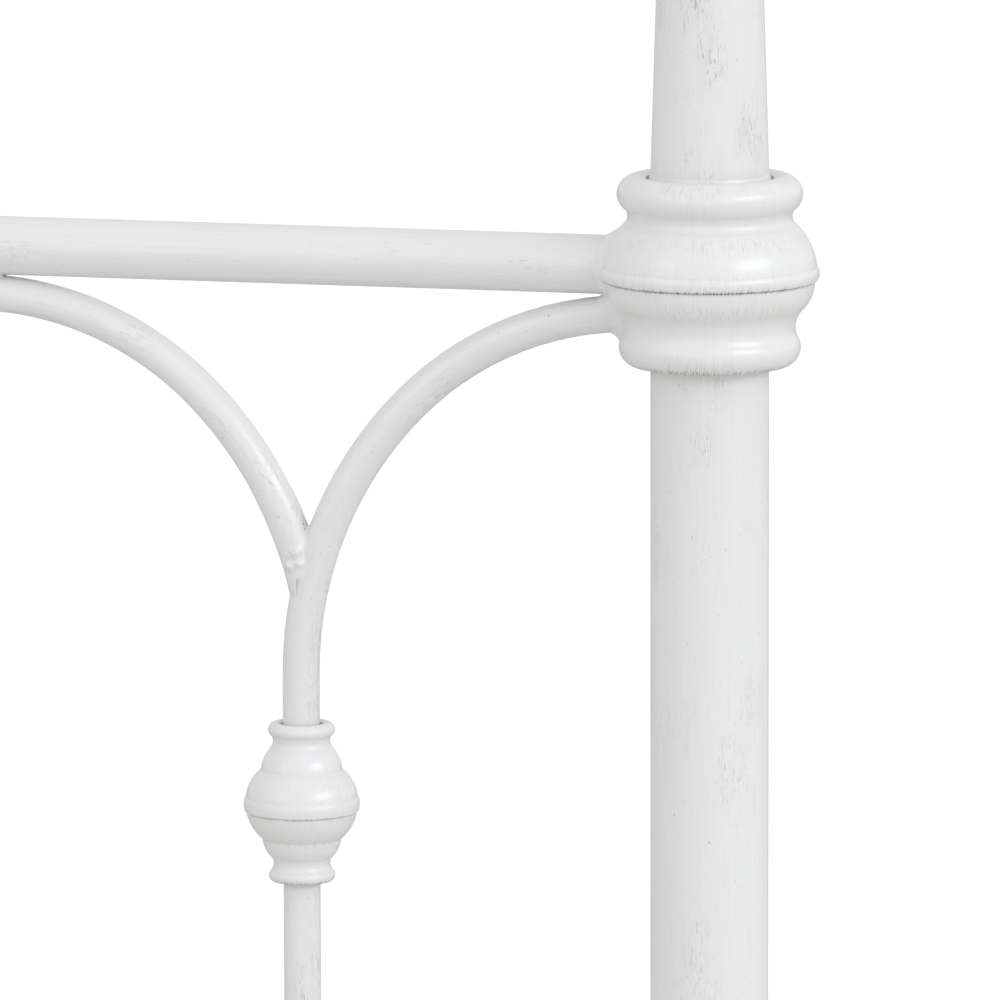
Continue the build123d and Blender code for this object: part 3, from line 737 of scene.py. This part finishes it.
def powder_coat(name, lines_of):
    material, tree, shader = new_material(name)
    place = object_place(tree)
    lines = lines_of(tree, place)
    peel = noise(tree, scaled(tree, place, (900, 900, 900)), 1.0)
    dulling = noise(tree, scaled(tree, lines, (14, 14, 4)), 4.0)
    scuffs = step(tree, noise(tree, scaled(tree, lines, (700, 700, 26)), 2.0), 0.70, 0.76)
    colour = blended(tree, step(tree, dulling, 0.35, 0.70), COAT_LIGHT, COAT_DULL)
    colour = blended(tree, maths(tree, "MULTIPLY", scuffs, 0.35), colour, SCUFF)
    roughness = maths(tree, "ADD", maths(tree, "MULTIPLY", dulling, 0.15), 0.36)
    height = maths(tree, "SUBTRACT", peel, scuffs)
    bump = node(tree, "ShaderNodeBump", {"Height": height, "Strength": 0.25, "Distance": 0.0002})
    for socket, value in (("Base Color", colour), ("Roughness", roughness), ("Normal", bump.outputs[0])):
        tree.links.new(value, shader.inputs[socket])
    return material


coat_along_bed = powder_coat("base_coat_along_bed", lambda tree, place: turned_axes(tree, place, "XZY"))
coat_across_bed = powder_coat("base_coat_across_bed", rail_lines)
coat_upright = powder_coat("base_coat_upright", upright_lines)
for name in ("side_rail_left", "side_rail_right", "centre_beam", "brackets"):
    set_material(name, coat_along_bed)
set_material("slats", coat_across_bed)
for panel in ("head", "foot"):
    set_material(f"centre_leg_{panel}", coat_upright)


# ---- Bolts, nuts, levelling feet and glides -------------------------------------------------------------
# The bolts and nuts that hold the side rails, and the levelling feet under the legs, are zinc-plated steel,
# faintly crystalline. The glides plugged into the posts are moulded in dull off-white plastic.

ZINC_LIGHT, ZINC_DARK = (0.68, 0.70, 0.72, 1), (0.48, 0.50, 0.53, 1)
PLASTIC_LIGHT, PLASTIC_GREY = (0.62, 0.62, 0.60, 1), (0.50, 0.50, 0.48, 1)

zinc, tree, shader = new_material("zinc_plate")
place = object_place(tree)
flakes = node(tree, "ShaderNodeTexVoronoi", {"Vector": scaled(tree, place, (420, 420, 420)), "Scale": 1.0})
cloud = noise(tree, scaled(tree, place, (160, 160, 160)), 3.0)
tree.links.new(blended(tree, cloud, ZINC_DARK, ZINC_LIGHT), shader.inputs["Base Color"])
tree.links.new(maths(tree, "ADD", maths(tree, "MULTIPLY", flakes.outputs["Distance"], 0.12), 0.26),
               shader.inputs["Roughness"])
flake_bump = node(tree, "ShaderNodeBump", {"Height": cloud, "Strength": 0.2, "Distance": 0.0001})
tree.links.new(flake_bump.outputs[0], shader.inputs["Normal"])
shader.inputs["Metallic"].default_value = 1.0

plastic, tree, shader = new_material("glide_plastic")
place = object_place(tree)
grain = noise(tree, scaled(tree, place, (1400, 1400, 1400)), 2.0)
dust = noise(tree, scaled(tree, place, (60, 60, 240)), 3.0)
dusty = blended(tree, step(tree, dust, 0.4, 0.7), PLASTIC_LIGHT, PLASTIC_GREY)
tree.links.new(dusty, shader.inputs["Base Color"])
tree.links.new(maths(tree, "ADD", maths(tree, "MULTIPLY", dust, 0.2), 0.45), shader.inputs["Roughness"])
grain_bump = node(tree, "ShaderNodeBump", {"Height": grain, "Strength": 0.3, "Distance": 0.0001})
tree.links.new(grain_bump.outputs[0], shader.inputs["Normal"])

for name in ("bolts", "nuts", "levelling_foot_head", "levelling_foot_foot"):
    set_material(name, zinc)
set_material("glides", plastic)
